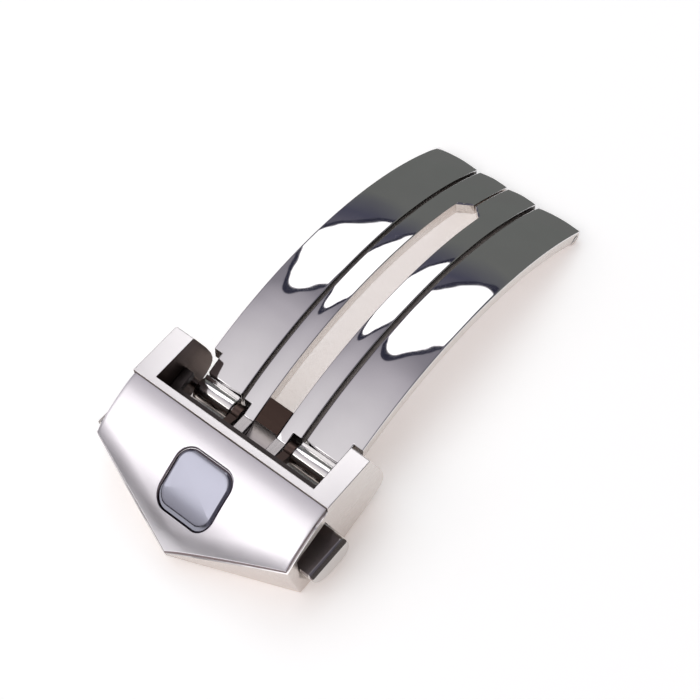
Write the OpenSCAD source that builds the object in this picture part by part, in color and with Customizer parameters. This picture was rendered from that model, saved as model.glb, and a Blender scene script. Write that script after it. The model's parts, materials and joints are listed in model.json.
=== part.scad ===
// Deployant clasp for an 18 mm watch strap, in millimetres.
// X runs across the strap, Y along it towards the far hinge, Z up from the table.
// The clasp lies closed. It rests on its two side walls and on the far knuckles.
// All shapes are drawn with the head's hinge at Y = 0 and are then moved along Y,
// so that the middle of the whole clasp comes over the origin.

/* [Blades] */
// Radius of the curve of the blades' upper faces
blade_radius = 37.45; // [37.4:0.05:37.5]
// Thickness of the blades
blade_thickness = 1.5; // [1.4:0.05:1.55]
// Place of that curve's centre along the strap
curve_along = 15.15; // [15.1:0.05:15.2]
// Height of the blades' highest line above the table
blade_crown = 7.6; // [7.55:0.05:7.65]
// Half the width over both outer arms
arms_half = 8.4; // [8.3:0.02:8.44]
// Middle of the gap between an outer and an inner arm
gap_middle = 3.47; // [3.45:0.01:3.48]
// Width of that gap
arm_gap = 0.4; // [0.3:0.02:0.42]
// Half the width of the opening in the inner blade
opening_half = 1.3; // [1.2:0.05:1.35]
// Near end of the opening
opening_near = 2.5; // [2.3:0.1:2.8]
// Length of the two fingers beyond the opening's pointed end
finger_length = 4.58; // [4:0.02:6]
// Width of the slit between the inner blade's two fingers
slit = 0.2; // [0.16:0.02:0.3]

/* [Far hinge] */
// Radius of the far knuckles
far_knuckle = 0.85; // [0.8:0.05:0.9]
// Radius of the far hinge pin
far_pin = 0.35; // [0.3:0.05:0.4]
// How far the pin's left end stands out
far_pin_proud = 0.15; // [0.05:0.05:0.2]

/* [Head hinge] */
// Height of the head's hinge above the table
head_pin_height = 3.8; // [3.75:0.05:3.85]
// Radius of the head's hinge pins
head_pin = 0.5; // [0.4:0.05:0.55]
// Radius of the barrels on the outer arms
barrel = 1.1; // [1.05:0.05:1.15]
// Width of the arm's shoulder beside the barrel
shoulder_width = 0.95; // [0.9:0.05:1.1]
// Where the shoulder stands along the strap
shoulder = 3.1; // [3.05:0.05:3.3]
// Thickness of the lugs that carry the pins' inner ends
lug_thickness = 0.8; // [0.7:0.02:0.82]

/* [Head frame] */
// Thickness of the side walls
wall_thickness = 2.07; // [2.03:0.01:2.2]
// Gap between an outer arm and its side wall
side_gap = 0.28; // [0.25:0.01:0.32]
// Height of the ears and of the bridge
ear_top = 9.0; // [8.95:0.05:9.05]
// Near edge of the bridge
bridge_near = -4.15; // [-4.2:0.05:-4.1]
// Width of the bridge along the strap
bridge_width = 0.72; // [0.65:0.01:0.75]
// Height of the bridge
bridge_height = 1.05; // [0.9:0.05:1.15]
// Thickness of the two walls that meet in the point
point_wall = 0.8; // [0.7:0.05:0.85]
// Where those walls start on the side walls, along the strap
point_corner = -8.826; // [-8.85:0.002:-8.8]

/* [Cover] */
// Radius of the cover's curved upper face
cover_radius = 19.5; // [19.4:0.05:19.6]
// Height of that face at the bridge
cover_rise = 8.91; // [8.9:0.01:8.93]
// Height of that face at the point
cover_foot = 2.74; // [2.7:0.01:2.8]
// Thickness of the cover plate
cover_thickness = 0.5; // [0.45:0.05:0.55]
// Ledge of the frame that shows outside the cover
ledge = 0.18; // [0.1:0.02:0.24]
// Side of the plaque's rounded square, across the strap
plaque_width = 5.8; // [5.4:0.1:6.2]
// Side of the plaque along the strap, seen from above
plaque_length = 5.0; // [4.6:0.1:5.4]
// Middle of the plaque along the strap
plaque_along = -8.7; // [-8.9:0.1:-8.5]
// Corner radius of the plaque
plaque_corner = 1.4; // [1.2:0.1:1.8]
// Depth of the plaque's seat in the cover
plaque_seat = 0.28; // [0.25:0.01:0.3]
// How far the plaque stands above the cover
plaque_proud = 0.08; // [0.04:0.02:0.12]
// Gap around the plaque
plaque_gap = 0.08; // [0.05:0.01:0.12]

/* [Strap plate] */
// Height of the way for the strap, between the frame's walls and the strap plate
strap_way = 2.8; // [2.75:0.05:2.85]
// Thickness of the strap plate
strap_plate_thickness = 0.7; // [0.65:0.05:0.7]
// Radius of the peg that holds the strap
peg_radius = 0.6; // [0.5:0.05:0.8]
// Height of the peg over the strap plate
peg_height = 0.95; // [0.8:0.05:1.1]

/* [Buttons] */
// How far a push button stands out of its side wall
button_proud = 1.45; // [1.3:0.05:1.5]
// Way a button travels inwards
button_travel = 0.8; // [0.7:0.05:0.8]
// Radius of a button's guide pin
guide_pin = 0.45; // [0.4:0.05:0.45]

/* [Spring bar] */
// Radius of the spring bar's tube
bar_radius = 0.6; // [0.55:0.05:0.6]
// Radius of its two tips
bar_tip = 0.3; // [0.28:0.02:0.32]
// Way the sprung tip travels inwards
bar_travel = 0.75; // [0.6:0.05:0.75]

/* [Hidden] */
$fn = 96;
// radial clearance of a pin that turns or slides in its bore
running = 0.04;
// radial clearance of a pin that is fixed in its bore
seat = 0.01;
// how far a bore or cut starts outside the solid
over = 1;
// how far two parts of one solid run into each other
lap = 0.1;
// slack at the end of a pin or round a loose tip
slack = 0.05;
// outside the clasp on every side, for cuts that go right through
beyond = 60;

// the blades' curve, and where it brings the far hinge
curve_depth = blade_radius - blade_crown;
far_along = curve_along
  + sqrt(pow(blade_radius - far_knuckle, 2) - pow(curve_depth + far_knuckle, 2));
function blade_top(y, lower = 0) =
  sqrt(pow(blade_radius - lower, 2) - pow(y - curve_along, 2)) - curve_depth;
opening_tip = far_along - finger_length;
outer_inner = gap_middle + arm_gap / 2;
inner_outer = gap_middle - arm_gap / 2;

// barrels, lugs and pins of the head's hinge, across the strap
barrel_step = 0.12;
barrel_inner = outer_inner - barrel_step;
barrel_outer = arms_half - shoulder_width;
barrel_root = 0.3;
lug_gap = 0.15;
lug_inner = barrel_inner - lug_gap - lug_thickness;
wall_inner = arms_half + side_gap;
head_half = wall_inner + wall_thickness;
pin_cover = 0.75;
pin_outer = head_half - pin_cover;
groove_width = 0.16;
groove_depth = 0.35;
groove_along = 1.02;

// the tongue of the inner blade, which runs in under the cover
tongue_gap = 0.2;
tongue_half = lug_inner - tongue_gap;
narrow_at = 1.1;
rib_top = blade_top(0);
rib_end = -4.3;
tongue_bottom = 2.6;
tongue_top = 3.3;
web_drop = 0.1;
web_near = 0.2;
web_foot = -1.1;
web_bottom = 2.9;
catch_half = 4.6;
catch_end = -8.3;
window_outer = 3.8;
window_near = -7.7;
window_far = -5.95;

// the spring bar and the lugs that hold it
bar_along = -9.25;
bar_height = 1.6;
bar_lug_inner = 3.9;
bar_lug_outer = 4.9;
bar_lug_radius = 0.75;
bar_lug_root = 0.3;
bar_link = 1.1;
bar_half = bar_lug_inner - lap;
bar_reach = bar_half + bar_travel + slack;
bar_mouth = 3.55;
bar_collar = 0.42;
bar_collar_inner = 2.9;
bar_blind = -3.3;
bar_spring_gap = 0.02;
bar_spring_bore = 0.25;

// the two planes of the point
point_normal = [0.382, -0.908, -0.174];
point_foot = 1.9;
point_reach = point_normal * [head_half, point_corner, point_foot];
point_length = norm(point_normal);
point_wall_end = -8;
tip_along = (point_reach - point_normal[2] * point_foot) / point_normal[1];
middle = (tip_along + far_along + far_knuckle) / 2;

// the centre of the cover's curve, from its radius and its height at both ends
chord = [bridge_near - tip_along, cover_rise - cover_foot];
chord_drop = sqrt(pow(cover_radius, 2) - pow(norm(chord) / 2, 2)) / norm(chord);
cover_along = (bridge_near + tip_along) / 2 + chord[1] * chord_drop;
cover_centre = (cover_rise + cover_foot) / 2 - chord[0] * chord_drop;
frame_radius = cover_radius - cover_thickness;
strap_plate_radius = frame_radius - strap_way;
strap_plate_under = strap_plate_radius - strap_plate_thickness;
function height_of(radius, y) =
  cover_centre + sqrt(pow(radius, 2) - pow(y - cover_along, 2));

// the side wall and its notch, as (along the strap, height)
wall_outline = [[-16, 2.0], [-13.4, 1.3], [-8.49, 0], [-7.06, 0], [-1.73, 1.09],
  [0.49, 1.77], [1.9, 2.35], [2.59, 2.83], [2.93, 3.3], [3.03, 3.82], [2.95, 4.6],
  [2.55, 6.0], [1.5, ear_top - 0.25], [1.3, ear_top], [bridge_near, ear_top],
  [bridge_near, beyond], [-16, beyond]];
notch_outline = [[-8.32, 5.96], [-4.58, 7.3], [-2.2, -0.1], [-2, -1], [-7, -1],
  [-7.04, 0.1], [-8.32, 2.83]];
ear_near = 4;

// the buttons, from the inside of the wall outwards
button_face = head_half + button_proud;
button_depth = 4;
button_inner = button_face - button_depth;
button_top = 4.45;
button_bottom = 1.64;
button_middle = -5.85;
button_round = 2.36;
button_corner = 1.2;
button_far = -3.43;
button_corner_along = button_far - button_corner;
button_bevel = 0.42;
button_slope = [[-9, 0], [-2.45, 0], [-3.79, button_top], [-9, button_top]];
spring_depth = 1.4;
spring_seat = button_inner + spring_depth;
guide_depth = 2.4;
guide_end = button_inner + guide_depth;

// the hooks
hook_near = -7.5;
hook_far = -6.15;
hook_top = 4.25;
hook_arm = 0.7;
hook_bottom = 2.05;
hook_inner = 3.0;
hook_stem = 0.6;
hook_nose = 1.3;
hook_nose_top = 2.5;
hook_depth = 0.8;
hook_root = button_inner + hook_depth;
hook_clear = 0.2;
window_inner = hook_inner - button_travel - hook_clear;

// the guide pins, the posts that they slide in, and the return springs
post_gap = 0.55;
post_thickness = 0.7;
post_outer = button_inner - button_travel - post_gap;
post_inner = post_outer - post_thickness;
post_radius = 0.85;
guide_along = -5.4;
guide_height = 2.75;
pin_head = 0.65;
pin_head_length = 0.5;
pin_head_outer = post_inner - slack;
pin_head_inner = pin_head_outer - pin_head_length;
spring_pocket = 0.95;
spring_outer = 0.8;
spring_inner = 0.56;

// the strap plate, with the cross bar of the frame that it is riveted to
strap_plate_near = -5.7;
strap_plate_far = -2.0;
neck_far = -3.3;
plate_neck = button_inner - button_travel - hook_clear;
plate_gap = 0.02;
plate_half = wall_inner - plate_gap;
wing_far = -0.2;
wing_width = 0.96;
wing_inner = plate_half - wing_width;
cross_near = -3.4;
cross_depth = 0.4;
cross_bottom = height_of(strap_plate_under, cross_near) - cross_depth;
lug_radius = 0.9;
frame_link = 0.9;
link_start = [-2.8, cross_bottom + lap];
rivet = 0.4;
rivet_side = 5;
rivet_along = -2.75;
rivet_proud = 0.2;
rivet_bottom = cross_bottom + slack;
rivet_top = height_of(strap_plate_radius, rivet_along) + rivet_proud;
peg_along = -4.6;
peg_sunk = 0.5;
peg_chamfer = 0.25;
peg_bottom = height_of(strap_plate_radius, peg_along) - peg_sunk;
peg_top = height_of(strap_plate_radius, peg_along) + peg_height;

// a round rod along X, at a place along the strap and a height
module rod(x0, x1, y, z, r) {
  translate([x0, y, z]) rotate([0, 90, 0]) cylinder(h = x1 - x0, r = r);
}

// a box from two corners
module block(x0, x1, y0, y1, z0, z1) {
  translate([x0, y0, z0]) cube([x1 - x0, y1 - y0, z1 - z0]);
}

// a flat outline of (along the strap, height), drawn out along X
module across(x0, x1, outline) {
  translate([x0, 0, 0]) rotate([90, 0, 90])
    linear_extrude(height = x1 - x0) polygon(outline);
}

// a straight bar between two points of (along, height), w thick
module link(x0, x1, a, b, w) {
  translate([x0, a[0], a[1]]) rotate([atan2(b[1] - a[1], b[0] - a[0]), 0, 0])
    translate([0, 0, -w / 2]) cube([x1 - x0, norm(b - a), w]);
}

// everything outside one of the point's two planes, moved in by depth
module beyond_point(depth) {
  rotate([0, acos(point_normal[2] / point_length), atan2(point_normal[1], point_normal[0])])
    translate([-beyond, -beyond, point_reach / point_length - depth])
      cube([2 * beyond, 2 * beyond, beyond]);
}

module cut_point(depth) {
  difference() {
    children();
    beyond_point(depth);
    mirror([1, 0, 0]) beyond_point(depth);
  }
}

// a strip of the blades' curved sheet
module blade_strip(x0, x1, y0, y1, lower = 0) {
  intersection() {
    difference() {
      rod(x0, x1, curve_along, -curve_depth, blade_radius - lower);
      rod(x0 - over, x1 + over, curve_along, -curve_depth, blade_radius - blade_thickness);
    }
    block(x0 - over, x1 + over, y0, y1, -over, beyond);
  }
}

module left() {
  mirror([1, 0, 0]) children();
}

// moves the whole clasp so that its middle is over the origin
module place() {
  translate([0, -middle, 0]) children();
}

module cover_rod(r) {
  rod(-beyond / 2, beyond / 2, cover_along, cover_centre, r);
}

// the five-sided plan of the head, cut back by inset, up to the bridge
module head_plan(inset) {
  cut_point(inset)
    block(-head_half + inset, head_half - inset, -beyond, bridge_near, 0, beyond);
}

// an upright prism with the plaque's outline
module rounded_square(grow) {
  hx = plaque_width / 2 + grow;
  hy = plaque_length / 2 + grow;
  r = plaque_corner + grow;
  translate([0, plaque_along, 0]) {
    translate([-hx + r, -hy, 0]) cube([2 * (hx - r), 2 * hy, beyond]);
    translate([-hx, -hy + r, 0]) cube([2 * hx, 2 * (hy - r), beyond]);
    for (sx = [-1, 1]) {
      for (sy = [-1, 1]) {
        translate([sx * (hx - r), sy * (hy - r), 0]) cylinder(h = beyond, r = r);
      }
    }
  }
}

// one half of what the frame carries inside: hinge lug and guide post
module inner_supports() {
  difference() {
    union() {
      rod(lug_inner, lug_inner + lug_thickness, 0, head_pin_height, lug_radius);
      link(lug_inner, lug_inner + lug_thickness, link_start, [0, head_pin_height], frame_link);
      rod(post_inner, post_outer, guide_along, guide_height, post_radius);
      link(post_inner, post_outer, [guide_along, guide_height], link_start, frame_link);
    }
    rod(lug_inner - over, lug_inner + lug_thickness + over, 0, head_pin_height,
      head_pin + seat);
    rod(post_inner - over, post_outer + over, guide_along, guide_height,
      guide_pin + running);
  }
}

module side_wall() {
  difference() {
    intersection() {
      across(wall_inner, head_half, wall_outline);
      union() {
        cover_rod(frame_radius);
        block(0, head_half, bridge_near, ear_near, 0, ear_top);
      }
    }
    across(wall_inner - over, head_half + over, notch_outline);
    rod(wall_inner - over, pin_outer + slack, 0, head_pin_height, head_pin + seat);
  }
}

module head_frame_whole() {
  cut_point(0) {
    side_wall();
    left() side_wall();
  }
  // the two walls that meet in the point
  intersection() {
    difference() {
      cut_point(0) across(-wall_inner, wall_inner, wall_outline);
      cut_point(point_wall) block(-beyond, beyond, -beyond, beyond, -over, beyond);
    }
    cover_rod(frame_radius);
    block(-wall_inner, wall_inner, -beyond, point_wall_end, 0, beyond);
  }
  // the bridge
  block(-wall_inner, wall_inner, bridge_near, bridge_near + bridge_width,
    ear_top - bridge_height, ear_top);
  // the cross bar under the strap plate, with the lugs and posts on it
  difference() {
    union() {
      intersection() {
        block(-wall_inner, wall_inner, cross_near, strap_plate_far, cross_bottom, beyond);
        cover_rod(strap_plate_under);
      }
      inner_supports();
      left() inner_supports();
    }
    rivet_holes();
  }
}

module rivet_holes() {
  for (sx = [-1, 1]) {
    translate([sx * rivet_side, rivet_along, 0]) cylinder(h = beyond, r = rivet + seat);
  }
}

module head_frame() {
  color("silver") place() head_frame_whole();
}

module cover_plate() {
  color("gainsboro") place() difference() {
    intersection() {
      head_plan(ledge);
      difference() {
        cover_rod(cover_radius);
        cover_rod(frame_radius);
      }
    }
    difference() {
      rounded_square(plaque_gap);
      cover_rod(cover_radius - plaque_seat);
    }
  }
}

module inlay_plaque() {
  color("lightslategray") place() intersection() {
    rounded_square(0);
    difference() {
      cover_rod(cover_radius + plaque_proud);
      cover_rod(cover_radius - plaque_seat);
    }
  }
}

module strap_plate() {
  color("darkgray") place() difference() {
    intersection() {
      difference() {
        cover_rod(strap_plate_radius);
        cover_rod(strap_plate_under);
      }
      union() {
        block(-plate_neck, plate_neck, strap_plate_near, strap_plate_far, 0, beyond);
        block(-plate_half, plate_half, neck_far, strap_plate_far, 0, beyond);
        block(wing_inner, plate_half, neck_far, wing_far, 0, beyond);
        block(-plate_half, -wing_inner, neck_far, wing_far, 0, beyond);
      }
    }
    rivet_holes();
    translate([0, peg_along, 0]) cylinder(h = beyond, r = peg_radius + seat);
  }
}

module strap_peg() {
  color("dimgray") place() translate([0, peg_along, peg_bottom]) {
    cylinder(h = peg_top - peg_chamfer - peg_bottom, r = peg_radius);
    translate([0, 0, peg_top - peg_chamfer - peg_bottom])
      cylinder(h = peg_chamfer, r1 = peg_radius, r2 = peg_radius - peg_chamfer);
  }
}

module strap_rivet() {
  translate([rivet_side, rivet_along, rivet_bottom])
    cylinder(h = rivet_top - rivet_bottom, r = rivet);
}

module strap_rivet_right() {
  color("dimgray") place() strap_rivet();
}

module strap_rivet_left() {
  color("dimgray") place() left() strap_rivet();
}

// the button: flat on top, round below, its far side along the notch
module push_button() {
  difference() {
    intersection() {
      union() {
        rod(button_inner, button_face, button_middle, button_bottom + button_round,
          button_round);
        block(button_inner, button_face, button_middle, button_corner_along, button_bottom,
          button_top);
        block(button_inner, button_face, button_corner_along - lap, button_far,
          button_bottom + button_corner, button_top);
        rod(button_inner, button_face, button_corner_along,
          button_bottom + button_corner, button_corner);
      }
      across(button_inner, button_face, button_slope);
    }
    // the bevel along the upper edge of the face
    translate([button_face - button_bevel, 0, button_top]) rotate([0, 45, 0])
      translate([0, -beyond, 0]) cube([beyond, beyond, beyond]);
    rod(button_inner - over, spring_seat, guide_along, guide_height, spring_pocket);
    rod(button_inner - over, guide_end, guide_along, guide_height, guide_pin + seat);
    block(button_inner - over, hook_root, hook_near, hook_far, hook_top - hook_arm,
      hook_top);
  }
}

module push_button_right() {
  color("silver") place() push_button();
}

module push_button_left() {
  color("silver") place() left() push_button();
}

// the hook reaches over the tongue, down through its window and back out under it
module latch_hook() {
  block(hook_inner, hook_root, hook_near, hook_far, hook_top - hook_arm, hook_top);
  block(hook_inner, hook_inner + hook_stem, hook_near, hook_far, hook_bottom, hook_top);
  block(hook_inner, hook_inner + hook_nose, hook_near, hook_far, hook_bottom, hook_nose_top);
}

module latch_hook_right() {
  color("darkgray") place() latch_hook();
}

module latch_hook_left() {
  color("darkgray") place() left() latch_hook();
}

module guide_pin_shape() {
  rod(pin_head_inner, pin_head_outer, guide_along, guide_height, pin_head);
  rod(pin_head_inner, guide_end, guide_along, guide_height, guide_pin);
}

module guide_pin_right() {
  color("dimgray") place() guide_pin_shape();
}

module guide_pin_left() {
  color("dimgray") place() left() guide_pin_shape();
}

// a plain sleeve in place of the wound return spring, hidden in the head
module button_spring() {
  difference() {
    rod(post_outer, spring_seat, guide_along, guide_height, spring_outer);
    rod(post_outer - over, spring_seat + over, guide_along, guide_height, spring_inner);
  }
}

module button_spring_right() {
  color("gray") place() button_spring();
}

module button_spring_left() {
  color("gray") place() left() button_spring();
}

module head_hinge_pin() {
  rod(lug_inner, pin_outer, 0, head_pin_height, head_pin);
}

module head_hinge_pin_right() {
  color("dimgray") place() head_hinge_pin();
}

module head_hinge_pin_left() {
  color("dimgray") place() left() head_hinge_pin();
}

module outer_arm() {
  difference() {
    union() {
      blade_strip(outer_inner, arms_half, shoulder, far_along);
      blade_strip(outer_inner, barrel_outer, barrel_root, shoulder + lap);
      rod(barrel_inner, barrel_outer, 0, head_pin_height, barrel);
      rod(outer_inner, arms_half, far_along, far_knuckle, far_knuckle);
    }
    rod(barrel_inner - over, barrel_outer + over, 0, head_pin_height, head_pin + running);
    rod(outer_inner - over, arms_half + over, far_along, far_knuckle, far_pin + seat);
    // the groove between barrel and arm
    block(outer_inner - over, barrel_outer + over, groove_along, groove_along + groove_width,
      blade_top(groove_along) - groove_depth, beyond);
  }
}

module outer_arm_right() {
  color("lightsteelblue") place() outer_arm();
}

module outer_arm_left() {
  color("lightsteelblue") place() left() outer_arm();
}

module far_hinge_pin() {
  color("dimgray") place()
    rod(-arms_half - far_pin_proud, arms_half, far_along, far_knuckle, far_pin);
}

// one half of the tongue: rib, catch plate with its window, and spring bar lug
module tongue_half_shape() {
  blade_strip(opening_half, tongue_half, 0, narrow_at + lap);
  block(opening_half, tongue_half, rib_end, 0, tongue_bottom, rib_top);
  difference() {
    union() {
      block(-lap, tongue_half, catch_end, web_foot, tongue_bottom, tongue_top);
      block(0, catch_half, catch_end, rib_end, tongue_bottom, tongue_top);
      block(0, bar_lug_outer, catch_end, window_near, tongue_bottom, tongue_top);
    }
    block(window_inner, window_outer, window_near, window_far, 0, beyond);
  }
  difference() {
    union() {
      rod(bar_lug_inner, bar_lug_outer, bar_along, bar_height, bar_lug_radius);
      link(bar_lug_inner, bar_lug_outer, [bar_along, bar_height],
        [catch_end + bar_lug_root, (tongue_bottom + tongue_top) / 2], bar_link);
    }
    rod(bar_lug_inner - over, bar_lug_outer + over, bar_along, bar_height, bar_tip + slack);
  }
}

module inner_blade_whole() {
  difference() {
    union() {
      blade_strip(-inner_outer, inner_outer, narrow_at, far_along);
      rod(-inner_outer, inner_outer, far_along, far_knuckle, far_knuckle);
    }
    rod(-beyond, beyond, far_along, far_knuckle, far_pin + running);
    translate([0, 0, -over]) linear_extrude(height = beyond)
      polygon([[-opening_half, 0], [opening_half, 0], [opening_half, opening_tip - opening_half],
        [0, opening_tip], [-opening_half, opening_tip - opening_half]]);
    block(-slit / 2, slit / 2, opening_tip - over, beyond, -over, beyond);
  }
  // the web between the arms and its sloping face
  blade_strip(-opening_half, opening_half, web_near, opening_near, web_drop);
  across(-opening_half, opening_half, [[web_near + slack, blade_top(web_near, web_drop)],
    [web_foot, tongue_top], [web_foot - lap, tongue_bottom], [web_near + slack, web_bottom]]);
  tongue_half_shape();
  left() tongue_half_shape();
}

module inner_blade() {
  color("slategray") place() inner_blade_whole();
}

module spring_bar_tube() {
  color("darkgray") place() difference() {
    union() {
      rod(-bar_half, bar_half, bar_along, bar_height, bar_radius);
      rod(-bar_reach, -bar_half + lap, bar_along, bar_height, bar_tip);
    }
    rod(bar_blind, bar_mouth, bar_along, bar_height, bar_collar + running);
    rod(bar_mouth - lap, bar_half + over, bar_along, bar_height, bar_tip + running);
  }
}

module spring_bar_tip() {
  color("dimgray") place() {
    rod(bar_collar_inner, bar_reach, bar_along, bar_height, bar_tip);
    rod(bar_collar_inner, bar_mouth - slack, bar_along, bar_height, bar_collar);
  }
}

// a plain sleeve in place of the wound spring, sealed inside the tube
module spring_bar_spring() {
  color("gray") place() difference() {
    rod(bar_blind, bar_collar_inner, bar_along, bar_height, bar_collar - bar_spring_gap);
    rod(bar_blind - over, bar_collar_inner + over, bar_along, bar_height, bar_spring_bore);
  }
}

head_frame();
cover_plate();
inlay_plaque();
strap_plate();
strap_peg();
strap_rivet_left();
strap_rivet_right();
push_button_left();
push_button_right();
latch_hook_left();
latch_hook_right();
guide_pin_left();
guide_pin_right();
button_spring_left();
button_spring_right();
head_hinge_pin_left();
head_hinge_pin_right();
outer_arm_left();
outer_arm_right();
far_hinge_pin();
inner_blade();
spring_bar_tube();
spring_bar_tip();
spring_bar_spring();
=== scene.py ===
# %% [markdown]
# Deployant clasp: the looks
#
# A deployant clasp is a folding steel buckle. A satin head with a pointed cover and two
# push buttons sits on three long mirror-polished blades. The CAD model gives every solid
# and where it is. This notebook adds what the eye sees: rounded edges, polishing marks,
# satin grain and the soft light of a photographer's tent.
#
# Everything is in metres here, while a watchmaker thinks in millimetres, so the first
# cell keeps one factor, MM, that turns one into the other.

import json
import math

import bmesh
import bpy
import numpy as np
from mathutils import Matrix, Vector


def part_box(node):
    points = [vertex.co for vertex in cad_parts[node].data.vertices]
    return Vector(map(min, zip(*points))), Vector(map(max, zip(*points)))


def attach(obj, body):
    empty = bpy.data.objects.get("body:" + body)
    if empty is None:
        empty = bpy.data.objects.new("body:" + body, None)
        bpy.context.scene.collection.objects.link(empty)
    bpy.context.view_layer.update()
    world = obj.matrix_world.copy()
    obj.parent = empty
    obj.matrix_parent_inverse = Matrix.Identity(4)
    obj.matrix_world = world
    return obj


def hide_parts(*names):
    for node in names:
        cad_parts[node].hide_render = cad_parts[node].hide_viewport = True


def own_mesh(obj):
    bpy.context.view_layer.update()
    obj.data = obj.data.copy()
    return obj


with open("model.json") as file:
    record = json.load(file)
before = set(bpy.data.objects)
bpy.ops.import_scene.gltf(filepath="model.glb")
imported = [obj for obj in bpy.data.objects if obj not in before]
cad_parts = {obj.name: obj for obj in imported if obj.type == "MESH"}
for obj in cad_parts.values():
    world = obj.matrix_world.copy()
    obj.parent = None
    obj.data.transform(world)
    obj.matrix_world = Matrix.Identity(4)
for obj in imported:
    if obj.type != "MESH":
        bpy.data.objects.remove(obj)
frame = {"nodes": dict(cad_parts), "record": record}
NODES = frame["nodes"]
BODY_OF = {node: body for body, members in frame["record"]["behaviour"]["bodies"].items()
           for node in members}
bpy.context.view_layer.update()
MM = 0.001

# The drawing has the head's hinge at zero along the strap, and the frame has the middle
# of the whole clasp there. The hinge pin's own box gives the distance between the two.
pin_low, pin_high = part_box("head_hinge_pin_right")
HINGE_ALONG = (pin_low.y + pin_high.y) / 2 / MM
print("hinge line at", round(HINGE_ALONG, 3), "mm along the strap")

# %% [markdown]
# A mesh from a grid
#
# Most new pieces are sheets of points with rows and columns. The points come from a
# formula as one array, and the faces join each point to its neighbours. The same helper
# serves them all, so that they have clean four-sided faces for smooth reflections.


# %% A helper for meshes made of arrays
def face_grid(rows, columns):
    """Faces that join a grid of rows x columns points, in which point (i, j) has the
    number i * columns + j. Each row is a closed ring: its last point joins its first."""
    i = np.arange(rows - 1)[:, None]
    j = np.arange(columns)[None, :]
    after = (j + 1) % columns
    a = i * columns + j
    b = i * columns + after
    c = (i + 1) * columns + after
    d = (i + 1) * columns + j
    return np.stack([a, b, c, d], axis=-1).reshape(-1, 4)


# %% [markdown]
# Steel finishes
#
# The real clasp is taken to be one steel, finished in different ways. The blades are
# polished until they mirror the room. The cover and the frame look as if rubbed across
# the strap, which leaves short parallel scratches that spread the light along the strap.
# A shader is built from nodes: noise, stretched along one axis, gives the scratches, and
# a slow noise gives the unevenness of hand work.


# %% A helper that links shader nodes
SLOW_NOISE = (0.25, 0.25, 0.25)
SWELL_NOISE = (0.12, 0.3, 0.12)
SCUFF_NOISE = (1.6, 0.35, 0.8)
SCUFFS_FROM, SCUFFS_FULL = 0.62, 0.8
DARKEST, LIGHTEST = 0.93, 1.05
GRAIN_SHARE = 2.5
SMOOTHEST = 0.015


def steel(name, color, roughness, spread=0.0, grain=None, bump=0.0, waves=0.0, wear=0.0):
    """A metal. Roughness varies by spread with a slow noise and with the grain, whose
    three numbers stretch a fine noise along the axes, in cycles per millimetre. bump is
    the depth of the grain and waves that of the slow hand-polished unevenness, both in
    millimetres. wear is the roughness that scuffs add."""
    material = bpy.data.materials.new(name)
    material.use_nodes = True
    nodes = material.node_tree.nodes
    links = material.node_tree.links
    shader = nodes["Principled BSDF"]
    shader.inputs["Metallic"].default_value = 1.0
    place = nodes.new("ShaderNodeTexCoord")

    def noise(scale, detail, rough=0.5):
        """Noise over Object coordinates, stretched by three factors."""
        stretch = nodes.new("ShaderNodeMapping")
        stretch.inputs["Scale"].default_value = [s / MM for s in scale]
        links.new(place.outputs["Object"], stretch.inputs["Vector"])
        pattern = nodes.new("ShaderNodeTexNoise")
        pattern.inputs["Scale"].default_value = 1.0
        pattern.inputs["Detail"].default_value = detail
        pattern.inputs["Roughness"].default_value = rough
        links.new(stretch.outputs["Vector"], pattern.inputs["Vector"])
        return pattern.outputs["Fac"]

    def math_node(kind, first, second):
        """One sum or product, of sockets or numbers."""
        node = nodes.new("ShaderNodeMath")
        node.operation = kind
        for socket, value in zip(node.inputs, (first, second)):
            if isinstance(value, (int, float)):
                socket.default_value = value
            else:
                links.new(value, socket)
        return node.outputs[0]

    slow = noise(SLOW_NOISE, 3.0)
    blotches = math_node("MULTIPLY", math_node("SUBTRACT", slow, 0.5), 2 * spread)
    rough = math_node("ADD", blotches, roughness)
    # a Mix node's sockets 6 and 7 are its two colours, and its output 2 is their mixture
    tone = nodes.new("ShaderNodeMix")
    tone.data_type = "RGBA"
    tone.inputs[6].default_value = [c * DARKEST for c in color] + [1]
    tone.inputs[7].default_value = [min(1, c * LIGHTEST) for c in color] + [1]
    links.new(slow, tone.inputs[0])
    links.new(tone.outputs[2], shader.inputs["Base Color"])
    height = None
    if grain:
        lines = noise(grain, 4.0, 0.65)
        uneven = math_node("SUBTRACT", lines, 0.5)
        scratches = math_node("MULTIPLY", uneven, spread * GRAIN_SHARE)
        rough = math_node("ADD", rough, scratches)
        height = math_node("MULTIPLY", lines, bump)
    if wear:
        scuffs = noise(SCUFF_NOISE, 6.0, 0.7)
        keep = nodes.new("ShaderNodeMapRange")
        keep.inputs["From Min"].default_value = SCUFFS_FROM
        keep.inputs["From Max"].default_value = SCUFFS_FULL
        links.new(scuffs, keep.inputs["Value"])
        rough = math_node("ADD", rough, math_node("MULTIPLY", keep.outputs[0], wear))
    if waves:
        swell = math_node("MULTIPLY", noise(SWELL_NOISE, 1.0), waves)
        height = swell if height is None else math_node("ADD", height, swell)
    if height is not None:
        raised = nodes.new("ShaderNodeBump")
        raised.inputs["Strength"].default_value = 1.0
        raised.inputs["Distance"].default_value = MM
        links.new(height, raised.inputs["Height"])
        links.new(raised.outputs["Normal"], shader.inputs["Normal"])
    clamped = nodes.new("ShaderNodeClamp")
    clamped.inputs["Min"].default_value = SMOOTHEST
    links.new(rough, clamped.inputs["Value"])
    links.new(clamped.outputs[0], shader.inputs["Roughness"])
    return material


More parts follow.
